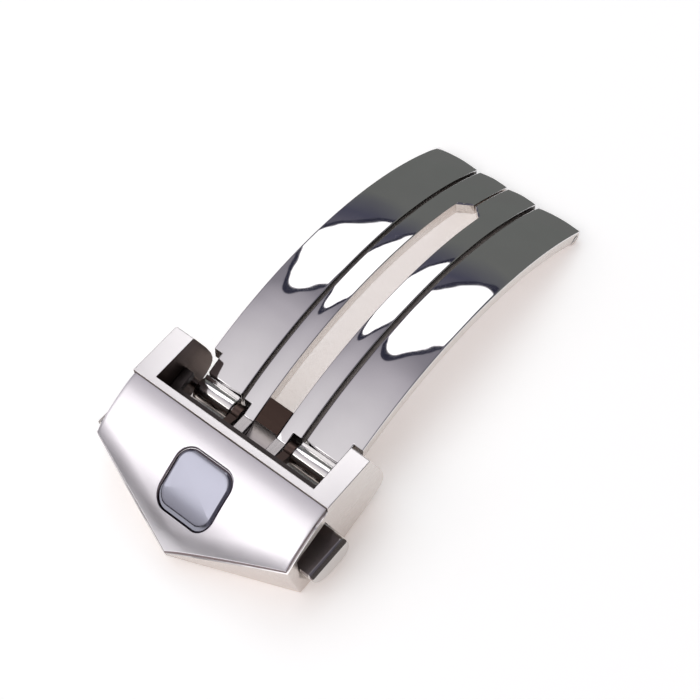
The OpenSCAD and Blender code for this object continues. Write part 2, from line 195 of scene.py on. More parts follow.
# %% [markdown]
# The finishes of this clasp
#
# Each finish has a colour, a roughness and a grain in its own direction. The colours of
# what the photograph shows were changed until they came near its tones in this room, and
# most of them aren't those of steel. The barrels, the frame, the blades and the cover are
# lighter than steel. The slots, the web's top, the ribs, the arms' sides that face a gap,
# the cover's edges, the plaque and the buttons' facets are darker. Painted light and shade
# are among them: the frame's top is a lit copy and its sides are a shaded copy of one
# satin, and the slot, the web's top, the ribs, the sides of the arms, the strap plate, the
# cover's edges and the buttons' facets are darkened as painted shade. Seen in another room
# they won't look like one metal. The finishes of hidden parts are guesses.


# %% Name the finishes
MIRROR = steel("mirror polished blades", (0.80, 0.79, 0.80), 0.045, 0.02, waves=0.035, wear=0.08)
# painted shade: sides that face a narrow gap, the bores and the strap plate are darkened
SAWN_AND_SHADE = steel("sawn sides in painted shade", (0.085, 0.075, 0.072), 0.42, 0.05, grain=(0.5, 0.5, 6), bump=0.001)
BARREL = steel("polished barrels", (0.97, 0.95, 0.93), 0.12, 0.03, grain=(9, 0.5, 0.5),
               bump=0.0006, wear=0.1)
WEB = steel("milled web", (0.62, 0.58, 0.56), 0.3, 0.05, grain=(0.5, 9, 9), bump=0.002, wear=0.1)
# painted shade: the web's top is a dark copy of the milled web
WEB_TOP_SHADE = steel("web top in painted shade", (0.055, 0.036, 0.03), 0.34, 0.06, grain=(9, 0.5, 9), bump=0.002)
SATIN = steel("satin cover", (0.78, 0.76, 0.79), 0.33, 0.05, grain=(0.35, 14, 14), bump=0.0016)
# painted light: the frame's top is the lit copy of one satin
LIT_WALLS = steel("satin frame in painted light", (0.93, 0.91, 0.91), 0.30, 0.02, grain=(0.35, 9, 9), bump=0.0003)
# painted shade: the sides of the frame and of the arms are its shaded copy
SHADED_SIDES = steel("satin sides in painted shade", (0.68, 0.63, 0.60), 0.27, 0.05, grain=(12, 0.35, 12), bump=0.0010)
# painted shade: the slot between the frame's walls is dark brown
SLOT_SHADE = steel("slot in painted shade", (0.11, 0.078, 0.068), 0.36, 0.08, grain=(0.5, 0.5, 12), bump=0.003)
# painted shade: the ribs near the bridge are darkened
RIB_SHADE = steel("milled ribs in painted shade", (0.38, 0.36, 0.36), 0.22, 0.06, grain=(9, 0.5, 9), bump=0.0016)
# painted shade: the cover's edge faces are darkened
CUT_EDGE_SHADE = steel("cover edges in painted shade", (0.20, 0.15, 0.155), 0.34, 0.06, grain=(0.5, 0.5, 12), bump=0.001)
PLAQUE = steel("polished plaque", (0.30, 0.305, 0.36), 0.20, 0.03, waves=0.01, wear=0.15)
BUTTON = steel("polished buttons", (0.60, 0.57, 0.55), 0.10, 0.02, wear=0.04)
# painted shade: the buttons' top facets are a dark copy of the buttons' steel
FACET_SHADE = steel("button facets in painted shade", (0.24, 0.20, 0.19), 0.26, 0.02, wear=0.04)
PLAIN = steel("milled steel", (0.40, 0.38, 0.37), 0.3, 0.06, grain=(6, 1, 6), bump=0.002)
TURNED = steel("turned steel", (0.62, 0.60, 0.59), 0.2, 0.05, grain=(14, 0.4, 0.4), bump=0.0016)
WIRE = steel("spring wire", (0.52, 0.50, 0.47), 0.24, 0.05, grain=(4, 4, 4), bump=0.001)
# the facets are a little less metallic, so that their tone comes nearer the photograph's
FACET_METALLIC = 0.8
FACET_SHADE.node_tree.nodes["Principled BSDF"].inputs["Metallic"].default_value = FACET_METALLIC
for name, node in NODES.items():
    node.data.materials.clear()
    node.data.materials.append(PLAIN)
print("finishes:", [m.name for m in bpy.data.materials])

# %% [markdown]
# Rounded copies of the machined solids
#
# No edge on real steel is perfectly sharp: a thin bright line runs along each edge where
# it was broken with a file and then polished. Where a solid has the piece's shape already,
# it is copied, and its triangles are joined into whole faces. A Bevel modifier breaks its
# sharp edges, or those of them that a function picks. The Weighted Normal modifier keeps
# the large faces flat, so that they mirror without waves.


# %% Helpers for closed pieces with broken edges
SOLID_MERGE = 0.0002
CUT_MERGE = 0.0001
PIECE_MERGE = 0.0004
FLAT_WITHIN = 0.6
BEVEL_SEGMENTS = 3
STRAIGHT_ON = 0.9


def whole_faces(node_name, planes=()):
    """The mesh of a solid with its double points merged and its flat triangles joined.
    Each plane is a point and a normal in millimetres; what lies beyond it is cut off, and
    the cut is closed."""
    form = bmesh.new()
    form.from_mesh(NODES[node_name].data)
    bmesh.ops.remove_doubles(form, verts=form.verts, dist=SOLID_MERGE * MM)
    for point, normal in planes:
        everything = list(form.verts) + list(form.edges) + list(form.faces)
        place = (np.array(point, float) + [0, HINGE_ALONG, 0]) * MM
        cut = bmesh.ops.bisect_plane(form, geom=everything, plane_co=place,
                                     plane_no=normal, clear_outer=True, dist=CUT_MERGE * MM)
        rim = [e for e in cut["geom_cut"] if isinstance(e, bmesh.types.BMEdge)]
        bmesh.ops.holes_fill(form, edges=rim)
    bmesh.ops.dissolve_limit(form, angle_limit=math.radians(FLAT_WITHIN), verts=form.verts,
                             edges=form.edges)
    return form


def closed_piece(name, points, faces, material, body, node_name, width=0.0,
                 marks=(), seconds=(), sharp=35):
    """A closed mesh from points in millimetres. Double points are merged, faces are turned
    outwards, and edges are broken if a width is given."""
    mesh = bpy.data.meshes.new(name)
    points = (np.asarray(points, float) + [0, HINGE_ALONG, 0]) * MM
    mesh.from_pydata(points.tolist(), [], faces)
    if len(marks):
        mesh.polygons.foreach_set("material_index", marks)
    form = bmesh.new()
    form.from_mesh(mesh)
    bmesh.ops.remove_doubles(form, verts=form.verts, dist=PIECE_MERGE * MM)
    bmesh.ops.recalc_face_normals(form, faces=form.faces)
    form.to_mesh(mesh)
    form.free()
    return finish_piece(name, mesh, material, body, node_name, width, sharp,
                        seconds=seconds)


def edge_middles(mesh):
    """The middle of each edge, in the drawing's millimetres."""
    places = np.empty(3 * len(mesh.vertices))
    mesh.vertices.foreach_get("co", places)
    ends = np.empty(2 * len(mesh.edges), int)
    mesh.edges.foreach_get("vertices", ends)
    middles = places.reshape(-1, 3)[ends.reshape(-1, 2)].mean(axis=1)
    return middles / MM - [0, HINGE_ALONG, 0]


def finish_piece(name, mesh, material, body, node_name, width, sharp, seconds=(),
                 broken=None):
    """An object from a mesh, shaded smooth but for its sharp edges, on its body. seconds
    are the materials of faces that are marked 1, 2 and so on. broken takes the middles of
    the edges and gives the share of the width for each of them."""
    mesh.polygons.foreach_set("use_smooth", np.full(len(mesh.polygons), True))
    mesh.set_sharp_from_angle(angle=math.radians(sharp))
    for finish in (material, *seconds):
        mesh.materials.append(finish)
    piece = bpy.data.objects.new(name, mesh)
    bpy.context.scene.collection.objects.link(piece)
    if width:
        keen = np.empty(len(mesh.edges), bool)
        mesh.attributes["sharp_edge"].data.foreach_get("value", keen)
        share = keen * (broken(edge_middles(mesh)) if broken else 1.0)
        mesh.attributes["sharp_edge"].data.foreach_set("value", keen & (share == 0))
        weight = mesh.attributes.new("bevel_weight_edge", "FLOAT", "EDGE")
        weight.data.foreach_set("value", share)
        bevel = piece.modifiers.new("broken edges", "BEVEL")
        bevel.width = width * MM
        bevel.segments = BEVEL_SEGMENTS
        bevel.limit_method = "WEIGHT"
        bevel.use_clamp_overlap = False
        bevel.loop_slide = False
    even = piece.modifiers.new("flat faces stay flat", "WEIGHTED_NORMAL")
    even.keep_sharp = True
    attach(piece, body)
    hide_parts(node_name)
    print(name, "has", len(mesh.polygons), "faces")
    return piece


def rounded_copy(name, node_name, width, material, planes=(), sharp=35, marks=None,
                 seconds=(), broken=None):
    """A copy of one solid with broken edges. It rides where the solid rides. marks takes
    the middles and the normals of the faces, and gives the number of each one's finish."""
    form = whole_faces(node_name, planes)
    mesh = bpy.data.meshes.new(name)
    form.to_mesh(mesh)
    form.free()
    if marks:
        middles, normals = np.empty((2, 3 * len(mesh.polygons)))
        mesh.polygons.foreach_get("center", middles)
        mesh.polygons.foreach_get("normal", normals)
        middles = middles.reshape(-1, 3) / MM - [0, HINGE_ALONG, 0]
        numbers = marks(middles, normals.reshape(-1, 3)).astype(int)
        mesh.polygons.foreach_set("material_index", numbers)
    return finish_piece(name, mesh, material, BODY_OF[node_name], node_name, width,
                        sharp, seconds, broken)


def top_faces(_, normals):
    """True for the faces that look straight up. Their middles aren't needed."""
    return normals[:, 2] > STRAIGHT_ON


# %% [markdown]
# The side view of a blade
#
# Seen from the side, a blade is a strip between two arcs with one centre. At its far end
# it wraps the hinge pin in a knuckle, whose upper corner is nearly square. The outline is a
# closed ring of points: out along the upper face, over the corner, round the knuckle, back
# along the lower face, and up the near end.

# %% Sizes of the blades, in millimetres, and counts of their points
BLADE_RADIUS = 37.45
BLADE_THICKNESS = 1.5
BLADE_CENTRE = np.array([15.15, -29.85])
KNUCKLE = 0.85
KNUCKLE_CORNER = 0.2
EVEN_ROWS_END = 1.2
EVEN_ROWS = 150
LAST_ROWS = 8
CORNER_POINTS = 4
pin_low, pin_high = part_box("far_hinge_pin")
FAR_HINGE = np.array([(pin_low.y + pin_high.y) / 2 / MM - HINGE_ALONG, KNUCKLE])
BARREL_CENTRE = np.array([0, 3.8])
print("far hinge at", FAR_HINGE.round(3))


def spokes(angles):
    """Unit directions (along, height), for angles counted from straight up towards +Y."""
    return np.stack([np.sin(angles), np.cos(angles)], axis=-1)


def turn_at(radius, along):
    """The angle at which a circle round the blades' centre reaches a place."""
    return np.arcsin((along - BLADE_CENTRE[0]) / radius)


def arc_height(radius, along):
    """The height of a circle round the blades' centre at a place."""
    return BLADE_CENTRE[1] + np.sqrt(radius ** 2 - (along - BLADE_CENTRE[0]) ** 2)


def blade_outline(start, corner, extra):
    """Ring of (along, height), its outward directions, and a share that is 1 on the upper
    face, fades round the knuckle, and is 0 below. Also the count of rows and of knuckle
    points, because the side faces are built from them. The upper and the lower face have
    rows at the same places, with extra ones where the blade's width changes.

    The upper arc runs on until a small quarter arc turns it straight down, level with the
    far side of the knuckle's circle. The circle meets the lower arc where the triangle of
    hinge, centre and meeting point has its third side as long as the lower radius, which
    the law of cosines gives."""
    lower_radius = BLADE_RADIUS - BLADE_THICKNESS
    spoke = FAR_HINGE - BLADE_CENTRE
    spoke_length = np.linalg.norm(spoke)
    far_turn = math.atan2(spoke[0], spoke[1])
    cosine = ((lower_radius ** 2 - spoke_length ** 2 - KNUCKLE ** 2)
              / (2 * spoke_length * KNUCKLE))
    round_way = 2 * math.pi - math.acos(cosine)
    near_up = turn_at(BLADE_RADIUS - corner, start + corner)
    near_low = turn_at(lower_radius + corner, start + corner)
    small = KNUCKLE_CORNER
    corner_turn = turn_at(BLADE_RADIUS - small, FAR_HINGE[0] + KNUCKLE - small)
    small_hub = BLADE_CENTRE + (BLADE_RADIUS - small) * spokes(np.array(corner_turn))
    over = np.linspace(corner_turn, math.pi / 2, 7)[1:]
    knuckle = np.linspace(math.pi / 2, far_turn + round_way, 44)[:-1]
    meeting = FAR_HINGE + KNUCKLE * spokes(np.array(far_turn + round_way)) - BLADE_CENTRE
    meeting_turn = math.atan2(meeting[0], meeting[1])
    even = np.linspace(start + 3 * corner, FAR_HINGE[0] - EVEN_ROWS_END, EVEN_ROWS)
    places = np.unique(np.append(even, extra))
    upper_turns = turn_at(BLADE_RADIUS, places)
    lower_turns = turn_at(lower_radius, places)
    upper = np.concatenate([[near_up], upper_turns,
                            np.linspace(upper_turns[-1], corner_turn, LAST_ROWS + 1)[1:]])
    lower = np.concatenate([[near_low], lower_turns,
                            np.linspace(lower_turns[-1], meeting_turn, LAST_ROWS + 1)[1:]])
    lower = lower[::-1]
    rows = len(upper)
    low_corner = np.linspace(near_low + math.pi, 1.5 * math.pi, CORNER_POINTS + 1)[1:]
    up_corner = np.linspace(-0.5 * math.pi, near_up, CORNER_POINTS + 1)[:-1]
    low_hub = BLADE_CENTRE + (lower_radius + corner) * spokes(np.array(near_low))
    up_hub = BLADE_CENTRE + (BLADE_RADIUS - corner) * spokes(np.array(near_up))
    ring = np.concatenate([
        BLADE_CENTRE + BLADE_RADIUS * spokes(upper),
        small_hub + small * spokes(over),
        FAR_HINGE + KNUCKLE * spokes(knuckle),
        BLADE_CENTRE + lower_radius * spokes(lower),
        low_hub + corner * spokes(low_corner),
        up_hub + corner * spokes(up_corner),
    ])
    outward = np.concatenate([spokes(upper), spokes(over), spokes(knuckle), -spokes(lower),
                              spokes(low_corner), spokes(up_corner)])
    bend = len(over) + len(knuckle)
    fade = np.linspace(1, 0, bend) ** 2
    share = np.concatenate([np.ones(rows), fade, np.zeros(rows), np.zeros(CORNER_POINTS),
                            np.ones(CORNER_POINTS)])
    return ring, outward, share, rows, bend


# %% [markdown]
# A crowned blade
#
# A polisher's wheel hardly leaves a strip flat across: it wears the edges down a little.
# Each arm is crowned here, because a crown bends the window of light on the steel into
# the flame that the photograph shows. The crown is a shallow parabola, and its slope at
# the sides was chosen by that flame. The last tenth of a millimetre at each side falls
# away along a quarter circle.


# %% Build one arm of a blade
SIDE_ROUNDING = 0.1
CROWN_TILT = 7.0
COLUMNS = 28


def crowned_arm(name, hand, start, corner, extra, inner, outer, crown_to, bore, body,
                node_name, hidden_side):
    """One arm, on the right for a hand of 1 and on the left for -1. inner and outer give
    its two sides for places along the strap. The crown is counted from inner to crown_to,
    and CROWN_TILT is its slope at those sides, in degrees. The side that faces a narrow
    gap is sawn and dull, and its colour and the bore's are darkened as painted shade. The
    other side is satin, in its shaded copy, which is painted shade too.

    A point at a distance e from a side falls by r minus the root of r squared minus
    (r - e) squared, for e under the rounding r. The crown falls by the tilt times half
    the width, over two, times the square of the distance from the middle."""
    ring, outward, share, rows, bend = blade_outline(start, corner, extra)
    r = SIDE_ROUNDING
    low_side = inner(ring[:, 0])
    high_side = outer(ring[:, 0])
    edge = r * (1 - np.cos(np.linspace(0, math.pi / 2, 5)))
    across = np.unique(np.concatenate([
        low_side.min() + edge, low_side.max() + edge,
        high_side.min() - edge, high_side.max() - edge,
        np.linspace(low_side.min(), high_side.max(), COLUMNS)]).round(5))
    x = np.clip(across[:, None], low_side[None, :], high_side[None, :])
    gap = np.minimum(x - low_side, high_side - x)
    fall = r - np.sqrt(np.maximum(r ** 2 - np.maximum(r - gap, 0) ** 2, 0))
    middle, half = (low_side + crown_to) / 2, (crown_to - low_side) / 2
    crown = math.radians(CROWN_TILT) * half / 2 * ((x - middle) / half) ** 2
    depth = fall + crown * share[None, :]
    side_view = ring[None] - outward[None] * depth[..., None]
    points = np.concatenate([x[..., None], side_view], axis=-1)
    count = len(ring)
    faces = face_grid(len(across), count).tolist()

    # the bore's ring: one point in the direction of each point of the knuckle, and more
    # for the rest of the circle
    ways = ring[rows - 1:rows + bend + 1] - FAR_HINGE
    turned = np.unwrap(np.arctan2(ways[:, 0], ways[:, 1]))
    rest = np.linspace(turned[-1], turned[0] + 2 * math.pi, 24)[1:-1]
    circle = FAR_HINGE + bore * spokes(np.concatenate([turned, rest]))
    size = len(circle)
    bores = []
    for row in (0, len(across) - 1):
        side = x[row, rows - 1]
        bores.append(np.column_stack([np.full(size, side), circle]))
    base = len(across) * count
    marks = [0] * len(faces)
    for order, row in enumerate((0, len(across) - 1)):
        before = len(faces)
        up = row * count + np.arange(rows)
        low = row * count + rows + bend + np.arange(rows)[::-1]
        around = row * count + rows - 1 + np.arange(bend + 2)
        hole = base + order * size + np.arange(size)
        faces += np.stack([up[:-1], up[1:], low[1:], low[:-1]], axis=-1).tolist()
        faces += np.stack([around[:-1], around[1:], hole[1:bend + 2], hole[:bend + 1]],
                          axis=-1).tolist()
        faces.append([int(around[0]), int(hole[0])] + hole[bend + 1:].tolist()[::-1]
                     + [int(around[-1])])
        near_end = row * count + np.arange(count - 2 * CORNER_POINTS, count)
        faces.append([int(up[0])] + near_end.tolist()[::-1] + [int(low[0])])
        # 1 is the sawn finish and 2 the satin one, both darkened as painted shade
        shade = 1 if order == hidden_side else 2
        marks += [shade] * (len(faces) - before)
    inside = base + np.arange(size)
    after = np.roll(inside, -1)
    faces += np.stack([inside, after, after + size, inside + size], axis=-1).tolist()
    everything = np.concatenate([points.reshape(-1, 3)] + bores) * [hand, 1, 1]
    marks += [1] * (len(faces) - len(marks))
    return closed_piece(name, everything, faces, MIRROR, body, node_name,
                        marks=marks, seconds=(SAWN_AND_SHADE, SHADED_SIDES))


# %% Sides of the four arms
SHOULDER = 3.1
OUTER_SIDES = (3.67, 8.4)
BARREL_SIDES = (3.55, 7.45)
INNER_SIDES = (1.3, 3.27)
NARROW_AT = 1.1
RIB_OUTER = 2.4
SLIT_HALF = 0.1
OPENING_TIP = FAR_HINGE[0] - 4.58
GROOVE = (1.02, 1.18)
STEP = 0.03
SLOPE_MIDDLE = 0.7
OUTER_BORE = 0.36
INNER_BORE = 0.39
print("the opening of the inner blade ends at", round(OPENING_TIP, 2), "mm")


def outer_arm_inside(along):
    """The side that faces the inner blade is straight."""
    return np.full_like(along, OUTER_SIDES[0])


def outer_arm_outside(along):
    """The other side steps out from the barrel's width at the shoulder."""
    return np.interp(along, [SHOULDER, SHOULDER + STEP], [BARREL_SIDES[1], OUTER_SIDES[1]])


def inner_arm_inside(along):
    """The opening between the arms ends in a slope of 45 degrees, and a slit runs on."""
    return np.clip(OPENING_TIP - along, SLIT_HALF, INNER_SIDES[0])


def inner_arm_outside(along):
    """The side that faces the outer arm steps in to the width of the ribs."""
    return np.interp(along, [NARROW_AT, NARROW_AT + STEP], [RIB_OUTER, INNER_SIDES[1]])


# %% The four arms
for side_name, hand in (("right", 1), ("left", -1)):
    crowned_arm(f"outer_blade_{side_name}", hand, GROOVE[1], 0.05,
                [SHOULDER, SHOULDER + STEP], outer_arm_inside, outer_arm_outside,
                OUTER_SIDES[1], OUTER_BORE, "arms", f"outer_arm_{side_name}", 0)
    crowned_arm(f"inner_blade_{side_name}", hand, 0.0, 0.02,
                [NARROW_AT, NARROW_AT + STEP, OPENING_TIP - INNER_SIDES[0],
                 OPENING_TIP - SLOPE_MIDDLE, OPENING_TIP - SLIT_HALF],
                inner_arm_inside, inner_arm_outside,
                INNER_SIDES[1], INNER_BORE, "blade", "inner_blade", 1)

# %% [markdown]
# The barrels
#
# Each outer arm ends near the head in a barrel, a short tube round the hinge pin. Its
# side view is star-shaped about the pin: every point of the outline can be joined to the
# bore by a straight line. So the outline and the bore are two rings with the same
# directions, and four rings make the whole block.


# %% Build the two barrels
BARREL_RADIUS = 1.1
BARREL_BORE = 0.54
BARREL_EDGE = 0.08


def barrel_outline():
    """Ring of (along, height): the barrel's circle, the root of the arm above it, and the
    narrow groove between the root and the arm."""
    meets_top = 0.67
    meets_under = 0.89
    groove_depth = 0.35
    root = np.linspace(GROOVE[0], meets_top, 5)
    from_turn = math.asin(meets_top / BARREL_RADIUS)
    to_turn = -math.pi - math.asin(meets_under / BARREL_RADIUS)
    circle = BARREL_CENTRE + BARREL_RADIUS * spokes(np.linspace(from_turn, to_turn, 84))
    back = np.linspace(meets_under, GROOVE[1], 4)
    floor_height = arc_height(BLADE_RADIUS, GROOVE[0]) - groove_depth
    return np.concatenate([
        [[GROOVE[1], floor_height], [GROOVE[0], floor_height]],
        np.column_stack([root, arc_height(BLADE_RADIUS, root)]),
        circle[1:-1],
        np.column_stack([back, arc_height(BLADE_RADIUS - BLADE_THICKNESS, back)]),
    ])


def bored_block(name, hand, outline, hub, bore, low, high, material, body, node_name):
    """A block between two places across the strap, with a bore along X round the hub.
    Each point of the bore lies in the direction of one point of the outline."""
    ways = outline - hub
    ways = ways / np.linalg.norm(ways, axis=1)[:, None]
    inner_ring = hub + bore * ways
    rings = [np.column_stack([np.full(len(outline), place), ring]) for place, ring in
             ((low, outline), (high, outline), (high, inner_ring), (low, inner_ring),
              (low, outline))]
    points = np.concatenate(rings) * [hand, 1, 1]
    faces = face_grid(len(rings), len(outline)).tolist()
    return closed_piece(name, points, faces, material, body, node_name,
                        BARREL_EDGE)


for side_name, hand in (("right", 1), ("left", -1)):
    bored_block(f"barrel_{side_name}", hand, barrel_outline(), BARREL_CENTRE, BARREL_BORE,
                *BARREL_SIDES, BARREL, "arms", f"outer_arm_{side_name}")

# %% [markdown]
# The rest of the inner blade
#
# Between its two arms the inner blade has a web, and under the cover it runs on as two
# ribs and a flat catch plate, whose shape is a guess, because the cover hides it. These
# are copies of the machined solid, cut where the crowned arms take over.

# %% Web, ribs and catch plate
ALONG_BACK = (0, 1, 0)
WEB_END = 2.49
WEB_EDGE = 0.07
RIB_EDGE = 0.06
# the web's top faces get the dark copy, which is painted shade
rounded_copy("web", "inner_blade", WEB_EDGE, WEB, sharp=12, planes=[
    ((0, WEB_END, 0), ALONG_BACK), ((INNER_SIDES[0], 0, 0), (1, 0, 0)),
    ((-INNER_SIDES[0], 0, 0), (-1, 0, 0))], marks=top_faces, seconds=(WEB_TOP_SHADE,))
# the ribs' darker colour is painted shade
for side_name, hand in (("right", 1), ("left", -1)):
    rounded_copy(f"rib_{side_name}", "inner_blade", RIB_EDGE, RIB_SHADE, planes=[
        ((0, 0, 0), ALONG_BACK), ((hand * INNER_SIDES[0], 0, 0), (-hand, 0, 0))])

# %% [markdown]
# The head's frame
#
# The frame is a rounded copy of its solid. The edges of its ears and of its bridge are
# broken, and the others stay sharp. Its faces have three finishes: satin on top,
# lightened as painted light; satin in another direction at the sides, darkened as painted
# shade; and dark brown in the slot between the walls, which is painted shade, where the
# photograph shows that colour.

# %% Finish the frame
WALL_INNER = 8.72
BRIDGE = -4.6
EARS_FROM = -2.0
BRIDGE_TOP = 7.9
SLOT_TOP = 7.0
SLOT_LEAN = 0.6
SIDE_LEAN = 0.5
FRAME_EDGE = 0.08


def frame_finishes(at, up):
    """0 for faces that look up, 1 for the slot between the walls, 2 for the outer sides. 0
    carries painted light, 1 and 2 painted shade.
    """
    between = np.abs(at[:, 0]) < WALL_INNER
    turned_in = np.abs(up[:, 0]) > STRAIGHT_ON
    in_slot = (at[:, 1] > BRIDGE) & ((up[:, 2] < SLOT_LEAN) | (at[:, 2] < SLOT_TOP))
    sides = (up[:, 2] < SIDE_LEAN) * 2
    return np.where(between & (turned_in | in_slot), 1, sides)


def ear_edges(at):
    """1 for the edges of the ears and of the bridge, and 0 for the others."""
    on_ear = (np.abs(at[:, 0]) > WALL_INNER - 0.1) & (at[:, 1] > EARS_FROM)
    on_bridge = (at[:, 2] > BRIDGE_TOP) & (at[:, 1] > BRIDGE)
    return np.where(on_ear | on_bridge, 1.0, 0.0)


# the frame's tops get painted light, its slot and its sides painted shade
rounded_copy("frame_walls", "head_frame", FRAME_EDGE, LIT_WALLS,
             marks=frame_finishes, seconds=(SLOT_SHADE, SHADED_SIDES), broken=ear_edges)

# %% [markdown]
# Outlines in rings
#
# The cover, the plaque and the faces of the buttons catch the eye, so they have meshes of
# their own. Rings of points run round an outline. To move an outline inwards by a distance
# d, each point moves along the sum of its two edge normals, times d over one plus their
# dot product: that is the exact mitre.


# %% Outlines that can be moved inwards
def inset(ring, distance):
    """A closed outline, counted against the clock, with each edge moved inwards."""
    way = np.roll(ring, -1, axis=0) - ring
    way /= np.linalg.norm(way, axis=1)[:, None]
    after = np.column_stack([way[:, 1], -way[:, 0]])
    before = np.roll(after, 1, axis=0)
    share = 1 + np.sum(after * before, axis=1)
    return ring - distance * (after + before) / share[:, None]


def softened(ring, corner, length):
    """An outline whose corner point is traded for a short parabola, which starts and ends
    at this length from it."""
    before, at, after = ring[corner - 1], ring[corner], ring[(corner + 1) % len(ring)]
    first = at + length * (before - at) / np.linalg.norm(before - at)
    last = at + length * (after - at) / np.linalg.norm(after - at)
    s = np.linspace(0, 1, 7)[:, None]
    bend = (1 - s) ** 2 * first + 2 * s * (1 - s) * at + s ** 2 * last
    return np.concatenate([ring[:corner], bend, ring[corner + 1:]])


def rounded_rectangle(width, height, corner, count=14):
    """A rectangle whose corners are quarter circles, counted against the clock."""
    quarter = np.linspace(0, math.pi / 2, count)
    parts = []
    for number, (sx, sy) in enumerate(((1, 1), (-1, 1), (-1, -1), (1, -1))):
        hub = np.array([sx * (width / 2 - corner), sy * (height / 2 - corner)])
        angles = quarter + number * math.pi / 2
        parts.append(hub + corner * np.column_stack([np.cos(angles), np.sin(angles)]))
    return np.concatenate(parts)


# %% [markdown]
# The cover
#
# The cover is a satin sheet with five corners, curved round an axis across the strap, with
# a hole for the plaque. Its upper edges are rolled down. Rings of points lead from the
# plaque's seat up the wall of the hole, over the top, down the outer edge and back below.

# %% The cover's cylinder
COVER_RADIUS = 19.5
COVER_RISE = 8.91
COVER_FOOT = 2.74
BRIDGE_NEAR = -4.15
PLAQUE_ALONG = -8.7
cover_low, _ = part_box("cover_plate")
chord = np.array([BRIDGE_NEAR - (cover_low.y / MM - HINGE_ALONG), COVER_RISE - COVER_FOOT])
chord_length = np.linalg.norm(chord)
drop = math.sqrt(COVER_RADIUS ** 2 - (chord_length / 2) ** 2) / chord_length
COVER_HUB = np.array([BRIDGE_NEAR - chord[0] / 2 + chord[1] * drop,
                      COVER_FOOT + chord[1] / 2 - chord[0] * drop])
print("the cover bends round", COVER_HUB.round(2))


def cover_height(along, above):
    """Height of the cover's cylinder, or of one that lies above or below it."""
    return COVER_HUB[1] + np.sqrt((COVER_RADIUS + above) ** 2 - (along - COVER_HUB[0]) ** 2)


def way_to(ring, ways):
    """How far each direction goes from the middle to a convex outline round it. A point a
    plus s times the edge e is t times the direction w, so t is a x e over w x e, and s is
    a x w over w x e, where x is the cross product in the plane."""
    edge = np.roll(ring, -1, axis=0) - ring
    cross = ways[:, None, 0] * edge[None, :, 1] - ways[:, None, 1] * edge[None, :, 0]
    cross = np.where(np.abs(cross) < 1e-9, 1e-9, cross)
    t = (ring[:, 0] * edge[:, 1] - ring[:, 1] * edge[:, 0])[None, :] / cross
    s = (ring[None, :, 0] * ways[:, None, 1] - ring[None, :, 1] * ways[:, None, 0]) / cross
    hits = (t > 0) & (s > -1e-6) & (s < 1 + 1e-6)
    return np.where(hits, t, np.inf).min(axis=1)


# Seen from above the cover has five corners. The extremes of the solid's own points give
# them: the point of the head, and the two ends of each straight side.
solid = np.array([v.co[:2] for v in NODES["cover_plate"].data.vertices]) / MM
solid -= [0, HINGE_ALONG + PLAQUE_ALONG]
half_width = solid[:, 0].max()
point_at, bridge_at = solid[:, 1].min(), solid[:, 1].max()
side_at = solid[solid[:, 0] > half_width - 0.01, 1].min()
plan = np.array([[0, point_at], [half_width, side_at], [half_width, bridge_at],
                 [-half_width, bridge_at], [-half_width, side_at]])
print("the cover's corners, from the plaque's middle:", plan.round(2).tolist())

# %% The cover's rolled edges
# Each edge is rolled down by a drop that dies out over a width: wide along the point and
# the bridge, narrow at the two sides. A parabola, drop times (1 - d / width) squared.
SIDE_ROLL = (0.35, 0.05)
BRIDGE_ROLL = (1.5, 0.13)
POINT_ROLL = (1.3, 0.2)
SQUARE_ON = 0.95
edge_ways = np.roll(plan, -1, axis=0) - plan
edge_ways /= np.linalg.norm(edge_ways, axis=1)[:, None]
inward = np.column_stack([-edge_ways[:, 1], edge_ways[:, 0]])
at_side = np.abs(inward[:, :1]) > SQUARE_ON
at_bridge = inward[:, 1:] < -SQUARE_ON
rolls = np.where(at_side, SIDE_ROLL, np.where(at_bridge, BRIDGE_ROLL, POINT_ROLL))
roll_width, roll_drop = rolls.T
print("widths and drops of the rolled edges:", rolls.tolist())


def cover_top(at):
    """Height of the cover's rolled upper face at places seen from above."""
    inside = np.sum((at[:, None] - plan[None]) * inward[None], axis=2)
    fall = roll_drop * np.clip(1 - inside / roll_width, 0, None) ** 2
    return cover_height(at[:, 1] + PLAQUE_ALONG, 0) - fall.sum(axis=1)


# %% Build the cover
COVER_GAP = 0.08
COVER_THICKNESS = 0.5
COVER_LIP = 0.04
COVER_SPOKES = 287
BESIDE_CORNER = 0.004
TOP_RINGS = 34
CROWDING = 1.6
PLAQUE_CORNER = 1.4
PLAQUE_SEAT = 0.28
corner_turns = np.arctan2(plan[:, 1], plan[:, 0])
turns = np.sort(np.concatenate([
    np.linspace(-math.pi, math.pi, COVER_SPOKES + 1)[:-1], corner_turns,
    corner_turns - BESIDE_CORNER, corner_turns + BESIDE_CORNER]))
ways = np.column_stack([np.cos(turns), np.sin(turns)])
plaque_low, plaque_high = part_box("inlay_plaque")
plaque_width = (plaque_high.x - plaque_low.x) / MM
plaque_length = (plaque_high.y - plaque_low.y) / MM
hole = rounded_rectangle(plaque_width + 2 * COVER_GAP, plaque_length + 2 * COVER_GAP,
                         PLAQUE_CORNER + COVER_GAP, 30)
near, far = way_to(hole, ways), way_to(plan, ways)
near, far = near[:, None] * ways, far[:, None] * ways
rings = []
for share in (0, 0.5, 1):
    rings.append(np.column_stack([near * share, cover_height(
        near[:, 1] * share + PLAQUE_ALONG, -PLAQUE_SEAT)]))
rings.append(np.column_stack([near, cover_top(near) - COVER_LIP]))
near_lip, far_lip = near + COVER_LIP * ways, far - COVER_LIP * ways
for share in 1 - np.linspace(1, 0, TOP_RINGS) ** CROWDING:
    at = near_lip + (far_lip - near_lip) * share
    rings.append(np.column_stack([at, cover_top(at)]))
rings.append(np.column_stack([far, cover_top(far) - COVER_LIP]))
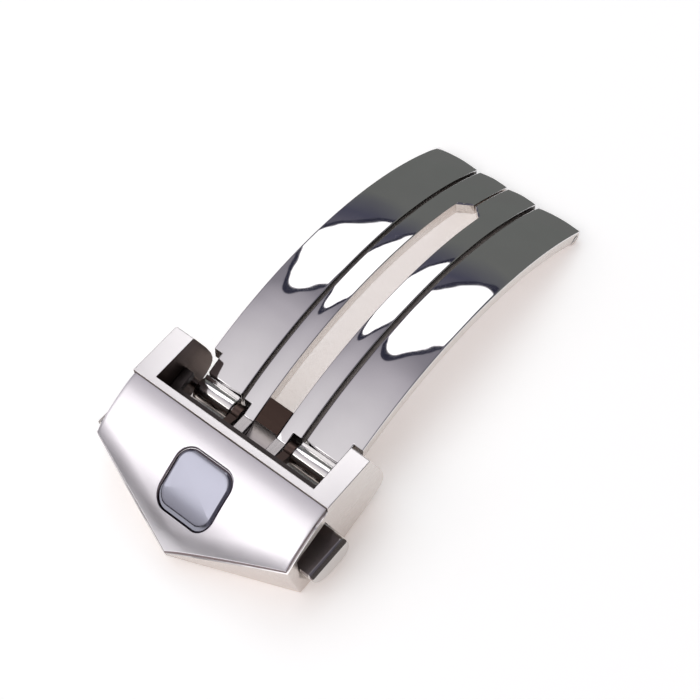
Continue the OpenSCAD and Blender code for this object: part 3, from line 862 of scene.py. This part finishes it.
for share in (1, 0.5, 0):
    at = far * share
    rings.append(np.column_stack([at, cover_height(at[:, 1] + PLAQUE_ALONG,
                                                   -COVER_THICKNESS)]))
# the third row of faces is the wall of the hole, and the last but two is the outer edge; both
# carry painted shade
marks = np.zeros((len(rings) - 1, len(ways)), int)
marks[2], marks[-3] = 1, 1
points = np.concatenate(rings) + [0, PLAQUE_ALONG, 0]
closed_piece("cover", points, face_grid(len(rings), len(ways)).tolist(), SATIN, "head",
             "cover_plate", marks=marks.ravel(), seconds=(CUT_EDGE_SHADE,))

# %% [markdown]
# The plaque
#
# The plaque is a polished square with rounded corners, let into the cover. Its top lies on
# the same cylinder as the cover's, a little higher. A sloping facet runs round it.

# %% Build the plaque
PLAQUE_PROUD = 0.08
PLAQUE_FACET = 0.3
PLAQUE_FLAT_FROM = 0.6
# how far in, in widths of the facet, and how far up, in millimetres
FACET_STEPS = ((0, 0), (0.1, 0.03), (0.9, 0.24), (1.1, 0.262), (1.4, 0.27))
facet_foot = PLAQUE_PROUD - FACET_STEPS[-1][1]
outline = rounded_rectangle(plaque_width, plaque_length, PLAQUE_CORNER)
inner = inset(outline, PLAQUE_FLAT_FROM)
rings = [(ring, -PLAQUE_SEAT) for ring in (inner * 0, inner, outline)]
rings += [(inset(outline, PLAQUE_FACET * way_in), facet_foot + up)
          for way_in, up in FACET_STEPS]
rings += [(inner * share, PLAQUE_PROUD) for share in np.linspace(1, 0, 12)]
points = np.concatenate([
    np.column_stack([ring[:, 0], ring[:, 1] + PLAQUE_ALONG,
                     cover_height(ring[:, 1] + PLAQUE_ALONG, above)]) for ring, above in rings])
closed_piece("plaque", points, face_grid(len(rings), len(outline)).tolist(), PLAQUE, "head",
             "inlay_plaque", sharp=60)

# %% [markdown]
# The buttons
#
# A button has one side view all the way across, with two arcs below and a soft corner by
# the ear. Copies of that outline go outwards in steps. The top slopes down at the outer
# end, as a facet, and the last steps shrink, which rounds the edge of the pressed face.
# The part that stays inside the wall is a copy of the solid.

# %% The buttons' side view
BUTTON_TOP = 4.45
BUTTON_FACE = 12.2
BUTTON_CUT = 10.9
BUTTON_FACET = 0.42
BUTTON_EASE = 0.1
BUTTON_LIP = 0.2
FACE_RIM = 0.04
EAR_CORNER = 0.4
EAR_TOP = (-3.79, BUTTON_TOP)
EAR_FOOT = (-3.43, 0.731 * BUTTON_TOP)
near_hub, near_radius = np.array([-5.85, 4.0]), 2.36
low_hub, low_radius = np.array([-4.63, 2.84]), 1.2
near_turn = math.acos((BUTTON_TOP - near_hub[1]) / near_radius)
side_view = np.concatenate([
    near_hub + near_radius * spokes(np.linspace(-near_turn, -math.pi, 26)),
    low_hub + low_radius * spokes(np.linspace(math.pi, math.pi / 2, 12)),
    [EAR_FOOT, EAR_TOP],
])
side_view = softened(side_view, len(side_view) - 1, EAR_CORNER)
print("the side view has", len(side_view), "points")

# %% Build the buttons
steps = [(across, 0.0) for across in (BUTTON_CUT, *np.linspace(
    BUTTON_FACE - BUTTON_FACET - BUTTON_EASE, BUTTON_FACE - BUTTON_FACET + BUTTON_EASE, 6))]
steps += [(BUTTON_FACE - BUTTON_LIP + BUTTON_LIP * math.sin(angle),
           BUTTON_LIP * (1 - math.cos(angle))) for angle in np.linspace(0, math.pi / 2, 6)]
for side_name, hand in (("right", 1), ("left", -1)):
    # the root's top faces get the dark copy, which is painted shade
    rounded_copy(f"button_root_{side_name}", f"push_button_{side_name}", 0.0, BUTTON,
                 planes=[((hand * BUTTON_CUT, 0, 0), (hand, 0, 0))],
                 marks=top_faces, seconds=(FACET_SHADE,))
    rings = []
    for across, depth in steps:
        ring = inset(side_view, depth)
        way_in = across - BUTTON_FACE + BUTTON_FACET
        eased = max(0, way_in + BUTTON_EASE) ** 2 / (4 * BUTTON_EASE)
        facet_drop = way_in if way_in > BUTTON_EASE else eased
        height = np.minimum(ring[:, 1], BUTTON_TOP - facet_drop)
        rings.append(np.column_stack([np.full(len(ring), across), ring[:, 0], height]))
    middle = rings[-1].mean(axis=0)
    for share in (0.7, 0.35, 0.0):
        rings.append(middle + share * (rings[len(steps) - 1] - middle))
    root = rings[0].mean(axis=0)
    rings = [root + share * (rings[0] - root) for share in (0, 0.5)] + rings
    points = np.concatenate(rings)
    faces = face_grid(len(rings), len(side_view))
    at = points[faces].mean(axis=1)
    on_top = at[:, 2] > BUTTON_TOP - BUTTON_FACET - BUTTON_EASE
    on_facet = at[:, 0] > BUTTON_FACE - BUTTON_FACET + BUTTON_EASE
    before_facet = at[:, 0] < BUTTON_FACE - BUTTON_FACET - BUTTON_EASE
    # the face's top, but for its rim and the facet's ease, gets painted shade
    shade = on_top & (at[:, 0] < BUTTON_FACE - FACE_RIM) & (on_facet | before_facet)
    closed_piece(f"button_face_{side_name}", points * [hand, 1, 1], faces.tolist(), BUTTON,
                 f"button_{side_name}", f"push_button_{side_name}",
                 marks=shade.astype(int), seconds=(FACET_SHADE,), sharp=50)

# %% [markdown]
# Small parts under the cover
#
# The strap's plate and the hooks of the buttons are seen from below and when the clasp is
# open. The photograph doesn't show them, so their finish is a guess: milled flat for the
# hooks, and sawn for the plate, whose colour is darkened as painted shade. They are
# rounded copies of their solids.

# %% Plates and hooks
PLATE_EDGE = 0.06
HOLE_RIM = 0.8
hole_boxes = [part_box(name) for name in ("strap_peg", "strap_rivet_left", "strap_rivet_right")]
HOLES = np.array([[(a.x + b.x) / 2 / MM, (a.y + b.y) / 2 / MM - HINGE_ALONG]
                  for a, b in hole_boxes])


def plate_edges(at):
    """1 for the edges of the strap plate that aren't rims of its holes."""
    gap = np.linalg.norm(at[:, None, :2] - HOLES, axis=2).min(axis=1)
    return np.where(gap > HOLE_RIM, 1.0, 0.0)


# painted shade: the strap plate is darkened as if shaded under the barrels and bridge
rounded_copy("strap_plate_finish", "strap_plate", PLATE_EDGE, SAWN_AND_SHADE,
             broken=plate_edges)
for side_name in ("left", "right"):
    rounded_copy(f"latch_hook_{side_name}_finish", f"latch_hook_{side_name}", PLATE_EDGE,
                 PLAIN)

# %% [markdown]
# Turned parts
#
# A pin, a rivet or a tube is a profile that was spun round its axis. The solid's own points
# lie on rings, and each ring is a place along the axis and a radius. The profile visits the
# rings in order; of two rings at one place it takes first the one whose radius it already
# has. A parabola eases each corner, as the file and the polisher's cloth do.


# %% Spin a profile round its axis
TURNED_EASE = 0.08
TURNED_POINTS = 48
SAME_RING = 0.02


def turned_piece(node_name, axis, material, bore_from=None, bore_within=0.0):
    """A turned part along X for an axis of 0 and along Z for 2. Rings beyond bore_from and
    inside the radius bore_within are those of its bore, which the profile visits last."""
    low, high = (np.array(corner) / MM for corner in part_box(node_name))
    middle = (low + high) / 2
    across = [number for number in range(3) if number != axis]
    solid = np.array([v.co[:] for v in NODES[node_name].data.vertices]) / MM
    radii = np.linalg.norm(solid[:, across] - middle[across], axis=1)
    rings = np.unique(np.column_stack([solid[:, axis], radii]).round(3), axis=0)
    in_bore = np.full(len(rings), False)
    if bore_from is not None:
        in_bore = (rings[:, 0] > bore_from) & (rings[:, 1] < bore_within)
    profile = [np.array([rings[0, 0], 0.0])]
    for part in (rings[~in_bore], rings[in_bore][::-1]):
        for place in dict.fromkeys(part[:, 0].tolist()):
            here = part[part[:, 0] == place]
            order = np.argsort(np.abs(here[:, 1] - profile[-1][1]))
            if len(profile) == 1:
                order = [int(np.argmax(here[:, 1]))]
            for ring in here[order]:
                if np.abs(ring - profile[-1]).max() > SAME_RING:
                    profile.append(ring)
    profile.append(np.array([profile[-1][0], 0.0]))
    profile = np.array(profile)
    for corner in range(len(profile) - 2, 0, -1):
        sides = [np.linalg.norm(profile[corner + step] - profile[corner]) for step in (-1, 1)]
        profile = softened(profile, corner, min(TURNED_EASE, 0.4 * min(sides)))
    angles = np.linspace(0, 2 * math.pi, TURNED_POINTS + 1)[:-1]
    points = np.empty((len(profile), len(angles), 3))
    points[..., axis] = profile[:, :1]
    points[..., across[0]] = middle[across[0]] + profile[:, 1:] * np.cos(angles)
    points[..., across[1]] = middle[across[1]] + profile[:, 1:] * np.sin(angles)
    closed_piece(f"{node_name}_finish", points.reshape(-1, 3) - [0, HINGE_ALONG, 0],
                 face_grid(len(profile), len(angles)).tolist(), material,
                 BODY_OF[node_name], node_name, sharp=50)


for side_name in ("left", "right"):
    turned_piece(f"strap_rivet_{side_name}", 2, TURNED)
    turned_piece(f"guide_pin_{side_name}", 0, TURNED)
    turned_piece(f"head_hinge_pin_{side_name}", 0, BARREL)
turned_piece("strap_peg", 2, TURNED)
turned_piece("far_hinge_pin", 0, TURNED)
turned_piece("spring_bar_tube", 0, TURNED, bore_from=-3.5, bore_within=0.5)
turned_piece("spring_bar_tip", 0, BARREL)


# %% [markdown]
# Wound springs
#
# Each spring is a wire on a helix: the angle grows evenly with the place along X, and a
# circle of points is swept along that line.


# %% Wind the three springs
POINTS_PER_TURN = 18
WIRE_POINTS = 10


def wound_spring(name, node_name, turns, wire):
    """A coil in the space of a plain sleeve. wire is half the wire's thickness, and the
    coil's middle line has the sleeve's outer radius less that."""
    low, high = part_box(node_name)
    hub = np.array([(low.y + high.y) / 2 / MM - HINGE_ALONG, (low.z + high.z) / 2 / MM])
    radius = (high.z - low.z) / 2 / MM - wire
    start, end = low.x / MM + wire, high.x / MM - wire
    t = np.linspace(0, 1, POINTS_PER_TURN * turns + 1)
    angle = 2 * math.pi * turns * t
    way_out = np.column_stack([np.zeros_like(t), spokes(angle)])
    middle = np.column_stack([start + (end - start) * t, np.tile(hub, (len(t), 1))])
    middle = middle + radius * way_out
    tangent = np.gradient(middle, axis=0)
    tangent /= np.linalg.norm(tangent, axis=1)[:, None]
    sideways = np.cross(tangent, way_out)
    around = np.linspace(0, 2 * math.pi, WIRE_POINTS + 1)[:-1]
    ring = (np.cos(around)[None, :, None] * way_out[:, None]
            + np.sin(around)[None, :, None] * sideways[:, None])
    points = (middle[:, None] + wire * ring).reshape(-1, 3)
    faces = face_grid(len(t), WIRE_POINTS).tolist()
    faces += [list(range(WIRE_POINTS)), list(range(len(points) - WIRE_POINTS, len(points)))]
    piece = closed_piece(name, points, faces, WIRE, BODY_OF[node_name], node_name)
    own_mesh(piece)


wound_spring("button_coil_right", "button_spring_right", 6, 0.11)
wound_spring("button_coil_left", "button_spring_left", 6, 0.11)
wound_spring("bar_coil", "spring_bar_spring", 16, 0.07)

# %% [markdown]
# The table and the light
#
# The photograph shows a white table and, mirrored in the blades, a bright window with a
# dark rim. The rest of the studio can't be seen. It is taken to be a light tent here, with
# a soft panel behind the clasp, another in front and a grey gap overhead. Polished steel
# shows its whole room, so the places, sizes and tones were changed until the reflections
# were like the photograph's. An area light is a panel of light that also shows in
# reflections, which is what a softbox does.

# %% A white table
TABLE_HALF = 1.2
TABLE_BELOW = 0.00002
table = bpy.data.objects.new("table", bpy.data.meshes.new("table"))
table.data.from_pydata([(x * TABLE_HALF, y * TABLE_HALF, -TABLE_BELOW) for x, y in
                        ((-1, -1), (1, -1), (1, 1), (-1, 1))], [], [[0, 1, 2, 3]])
bpy.context.scene.collection.objects.link(table)
paper = bpy.data.materials.new("white paper")
paper.use_nodes = True
paper_nodes, paper_links = paper.node_tree.nodes, paper.node_tree.links
paper_shader = paper_nodes["Principled BSDF"]
paper_shader.inputs["Base Color"].default_value = (0.93, 0.93, 0.93, 1)
paper_shader.inputs["Roughness"].default_value = 0.9
paper_shader.inputs["Emission Color"].default_value = (1, 0.88, 0.80, 1)
print("table is", 2 * TABLE_HALF, "m wide")

# %% The table's glow
# The glow stands for light that a tent's walls would send to the table. None of it would
# get below the head, so it fades out there: the larger of the two distances from the
# head's middle, each over the head's half size, is between these two shares in the fade.
GLOW = 0.36
SHADED_MIDDLE = (0.0, -13.5, 0.0)
SHADED_HALF = (9.6, 5.0, 1000.0)
FADE_FROM, FADE_TO = 0.85, 1.1


def paper_step(kind, operation, *values):
    """One sum of the paper's shader, over sockets or fixed values."""
    node = paper_nodes.new(kind)
    node.operation = operation
    for socket, value in zip(node.inputs, values):
        if isinstance(value, bpy.types.NodeSocket):
            paper_links.new(value, socket)
        else:
            socket.default_value = [v * MM for v in value]
    return node.outputs[0]


on_table = paper_nodes.new("ShaderNodeTexCoord").outputs["Object"]
from_middle = paper_step("ShaderNodeVectorMath", "SUBTRACT", on_table, SHADED_MIDDLE)
in_halves = paper_step("ShaderNodeVectorMath", "DIVIDE", from_middle, SHADED_HALF)
parts = paper_nodes.new("ShaderNodeSeparateXYZ")
paper_links.new(paper_step("ShaderNodeVectorMath", "ABSOLUTE", in_halves), parts.inputs[0])
larger = paper_step("ShaderNodeMath", "MAXIMUM", parts.outputs[0], parts.outputs[1])
glow = paper_nodes.new("ShaderNodeMapRange")
glow.interpolation_type = "SMOOTHSTEP"
glow.inputs["From Min"].default_value = FADE_FROM
glow.inputs["From Max"].default_value = FADE_TO
glow.inputs["To Max"].default_value = GLOW
paper_links.new(larger, glow.inputs["Value"])
paper_links.new(glow.outputs[0], paper_shader.inputs["Emission Strength"])
table.data.materials.append(paper)
print("the glow is", GLOW, "outside the shade of the head")


# %% Soft panels
def direction(azimuth, elevation):
    """The way towards a place in the room. Azimuth is counted from +Y towards +X."""
    a, e = math.radians(azimuth), math.radians(elevation)
    return np.array([math.sin(a) * math.cos(e), math.cos(a) * math.cos(e), math.sin(e)])


def soft_panel(name, azimuth, elevation, distance, size, power, color):
    """An area light that looks at the clasp from a place in the room. Its X axis is level,
    as the cross product of straight up and the way back to it."""
    light = bpy.data.lights.new(name, "AREA")
    light.shape = "RECTANGLE"
    light.size, light.size_y = size
    light.energy = power
    light.color = color
    lamp = bpy.data.objects.new(name, light)
    bpy.context.scene.collection.objects.link(lamp)
    back = direction(azimuth, elevation)
    side = np.cross([0, 0, 1], back)
    side /= np.linalg.norm(side)
    matrix = np.eye(4)
    matrix[:3, 0] = side
    matrix[:3, 1] = np.cross(back, side)
    matrix[:3, 2] = back
    matrix[:3, 3] = back * distance
    lamp.matrix_world = Matrix(matrix.tolist())
    lamp.visible_camera = False
    print(name, "at", [round(float(v), 2) for v in back * distance])
    return lamp


PANEL_SIZE = (0.37, 0.285)
DAYLIGHT = (1.0, 0.99, 0.98)
panel = soft_panel("panel behind", -30, 53.5, 0.6, PANEL_SIZE, 0.45, DAYLIGHT)
soft_panel("panel in front", -165, 44, 0.6, (0.6, 0.26), 0.62, DAYLIGHT)
above = soft_panel("light over the table", -60, 70, 1.3, (1.2, 1.2), 4.2, (0.63, 0.915, 1.0))
above.visible_glossy = False

# %% [markdown]
# What the mirror sees besides the light
#
# The panel behind has a dark rim with rounded corners, as a softbox has, and it draws the
# thin dark line round the window of light. A dark card lies beyond the far end, where the
# blades look along the table, and a low one stands in front, which draws the grey bands
# along the cover's lower edges. All three are only there for the mirror: the camera
# doesn't see them, and they take no light away from the clasp. The photograph doesn't
# show what stood there, so they are stand-ins that give its reflections.


# %% Rim and cards
def unseen_flag(name, points, faces, color):
    """A dark thing that shows in reflections alone."""
    flag = bpy.data.objects.new(name, bpy.data.meshes.new(name))
    flag.data.from_pydata([list(map(float, p)) for p in points], [], faces)
    cloth = bpy.data.materials.new(name)
    cloth.use_nodes = True
    shader = cloth.node_tree.nodes["Principled BSDF"]
    shader.inputs["Base Color"].default_value = (0, 0, 0, 1)
    shader.inputs["Specular IOR Level"].default_value = 0.0
    shader.inputs["Emission Color"].default_value = (*color, 1)
    shader.inputs["Emission Strength"].default_value = 1.0
    flag.data.materials.append(cloth)
    bpy.context.scene.collection.objects.link(flag)
    flag.visible_camera = False
    flag.visible_diffuse = False
    flag.visible_shadow = False
    print(name, "has", len(faces), "faces")


PANEL_CORNER = 0.075
RIM = 0.02
RIM_IN_FRONT = 0.004
opening = rounded_rectangle(*PANEL_SIZE, PANEL_CORNER)
rim_edge = rounded_rectangle(PANEL_SIZE[0] + 2 * RIM, PANEL_SIZE[1] + 2 * RIM, 3 * RIM)
flat = np.concatenate([opening, rim_edge])
flat = np.column_stack([flat, np.full(len(flat), -RIM_IN_FRONT), np.ones(len(flat))])
rim_points = (flat @ np.array(panel.matrix_world).T)[:, :3]
rim_faces = face_grid(2, len(opening))
unseen_flag("panel rim", rim_points, rim_faces.tolist(), (0.030, 0.030, 0.050))

TABLE_DARK = (0.152, 0.157, 0.150)
CARD_ABOVE = 0.00003
CARD_LEFT, CARD_RIGHT = -1.25, 0.4
CARD_NEAR, CARD_FAR = 0.030, 1.25
card = [(x, y, CARD_ABOVE) for x, y in ((CARD_LEFT, CARD_NEAR), (CARD_RIGHT, CARD_NEAR),
                                        (CARD_RIGHT, CARD_FAR), (CARD_LEFT, CARD_FAR))]
unseen_flag("dark card", card, [[0, 1, 2, 3]], TABLE_DARK)

LOW_CARD_WAY = -160
LOW_CARD_AWAY = 0.5
LOW_CARD_HALF = 0.5
LOW_CARD_FROM, LOW_CARD_TO = 0.002, 0.15
forward = direction(LOW_CARD_WAY, 0)
sideways = np.array([-forward[1], forward[0], 0])
low_card = [LOW_CARD_AWAY * forward + side * sideways + [0, 0, height]
            for side, height in ((-LOW_CARD_HALF, LOW_CARD_FROM), (LOW_CARD_HALF, LOW_CARD_FROM),
                                 (LOW_CARD_HALF, LOW_CARD_TO), (-LOW_CARD_HALF, LOW_CARD_TO))]
unseen_flag("low card", low_card, [[0, 1, 2, 3]], (0.03, 0.026, 0.03))

# %% [markdown]
# The room round the clasp
#
# What no panel covers is the world. Its tone depends on one thing only, the angle from a
# bright middle in front and above: the angle's cosine, brought from 0 to 1, picks a tone
# between the stops. They were chosen by the reflections too, and are no measured room.

# %% The tones of the room
BRIGHT_MIDDLE = (-160, 50)
room = bpy.data.worlds.new("tent")
room.use_nodes = True
bpy.context.scene.world = room
tent_nodes = room.node_tree.nodes
tent_links = room.node_tree.links
way = tent_nodes.new("ShaderNodeTexCoord")
facing = tent_nodes.new("ShaderNodeVectorMath")
facing.operation = "DOT_PRODUCT"
facing.inputs[1].default_value = [float(v) for v in direction(*BRIGHT_MIDDLE)]
tent_links.new(way.outputs["Generated"], facing.inputs[0])
half_way = tent_nodes.new("ShaderNodeMapRange")
half_way.inputs["From Min"].default_value = -1.0
tent_links.new(facing.outputs["Value"], half_way.inputs["Value"])
tones = tent_nodes.new("ShaderNodeValToRGB")
tent_links.new(half_way.outputs[0], tones.inputs["Fac"])
stops = [(0.0, (0.15, 0.16, 0.15)), (0.47, TABLE_DARK),
         (0.56, (0.075, 0.075, 0.11)), (0.66, (0.16, 0.15, 0.18)),
         (0.80, (0.27, 0.255, 0.29)), (0.87, (0.54, 0.51, 0.55)),
         (0.965, (0.80, 0.77, 0.79)), (1.0, (0.90, 0.87, 0.89))]
ramp = tones.color_ramp
while len(ramp.elements) < len(stops):
    ramp.elements.new(0.5)
for element, (place_of, tint) in zip(ramp.elements, stops):
    element.position = place_of
    element.color = (*tint, 1)
tent_links.new(tones.outputs["Color"], tent_nodes["Background"].inputs["Color"])
print("tent has", len(ramp.elements), "tones")

# %% [markdown]
# The camera
#
# The camera was fitted to the photograph: the clasp's straight edges, and the width that
# the head was given, fix where the lens must have been. It looks down at 58 degrees.

# %% The photographer's camera
LENS = 85.77
SENSOR = 36.0
CAMERA_TURNS = (42.19, 58.21, -3.85)
CAMERA_PLACE = (53.11, -46.93, 130.13)
CLIP_START, CLIP_END = 0.005, 10
lens = bpy.data.cameras.new("camera")
lens.lens = LENS
lens.sensor_width = SENSOR
lens.clip_start = CLIP_START
lens.clip_end = CLIP_END
camera = bpy.data.objects.new("camera", lens)
bpy.context.scene.collection.objects.link(camera)
az, el, roll = (math.radians(v) for v in CAMERA_TURNS)
to_camera = np.array([math.cos(el) * math.sin(az), -math.cos(el) * math.cos(az), math.sin(el)])
level = np.array([math.cos(az), math.sin(az), 0])
upright = np.cross(to_camera, level)
view_matrix = np.eye(4)
view_matrix[:3, 0] = level * math.cos(roll) + upright * math.sin(roll)
view_matrix[:3, 1] = -level * math.sin(roll) + upright * math.cos(roll)
view_matrix[:3, 2] = to_camera
view_matrix[:3, 3] = (np.array(CAMERA_PLACE) + [0, HINGE_ALONG, 0]) * MM
camera.matrix_world = Matrix(view_matrix.tolist())
bpy.context.scene.camera = camera
bpy.context.scene.view_settings.view_transform = "Standard"
print("camera at", [round(float(v), 4) for v in view_matrix[:3, 3]])
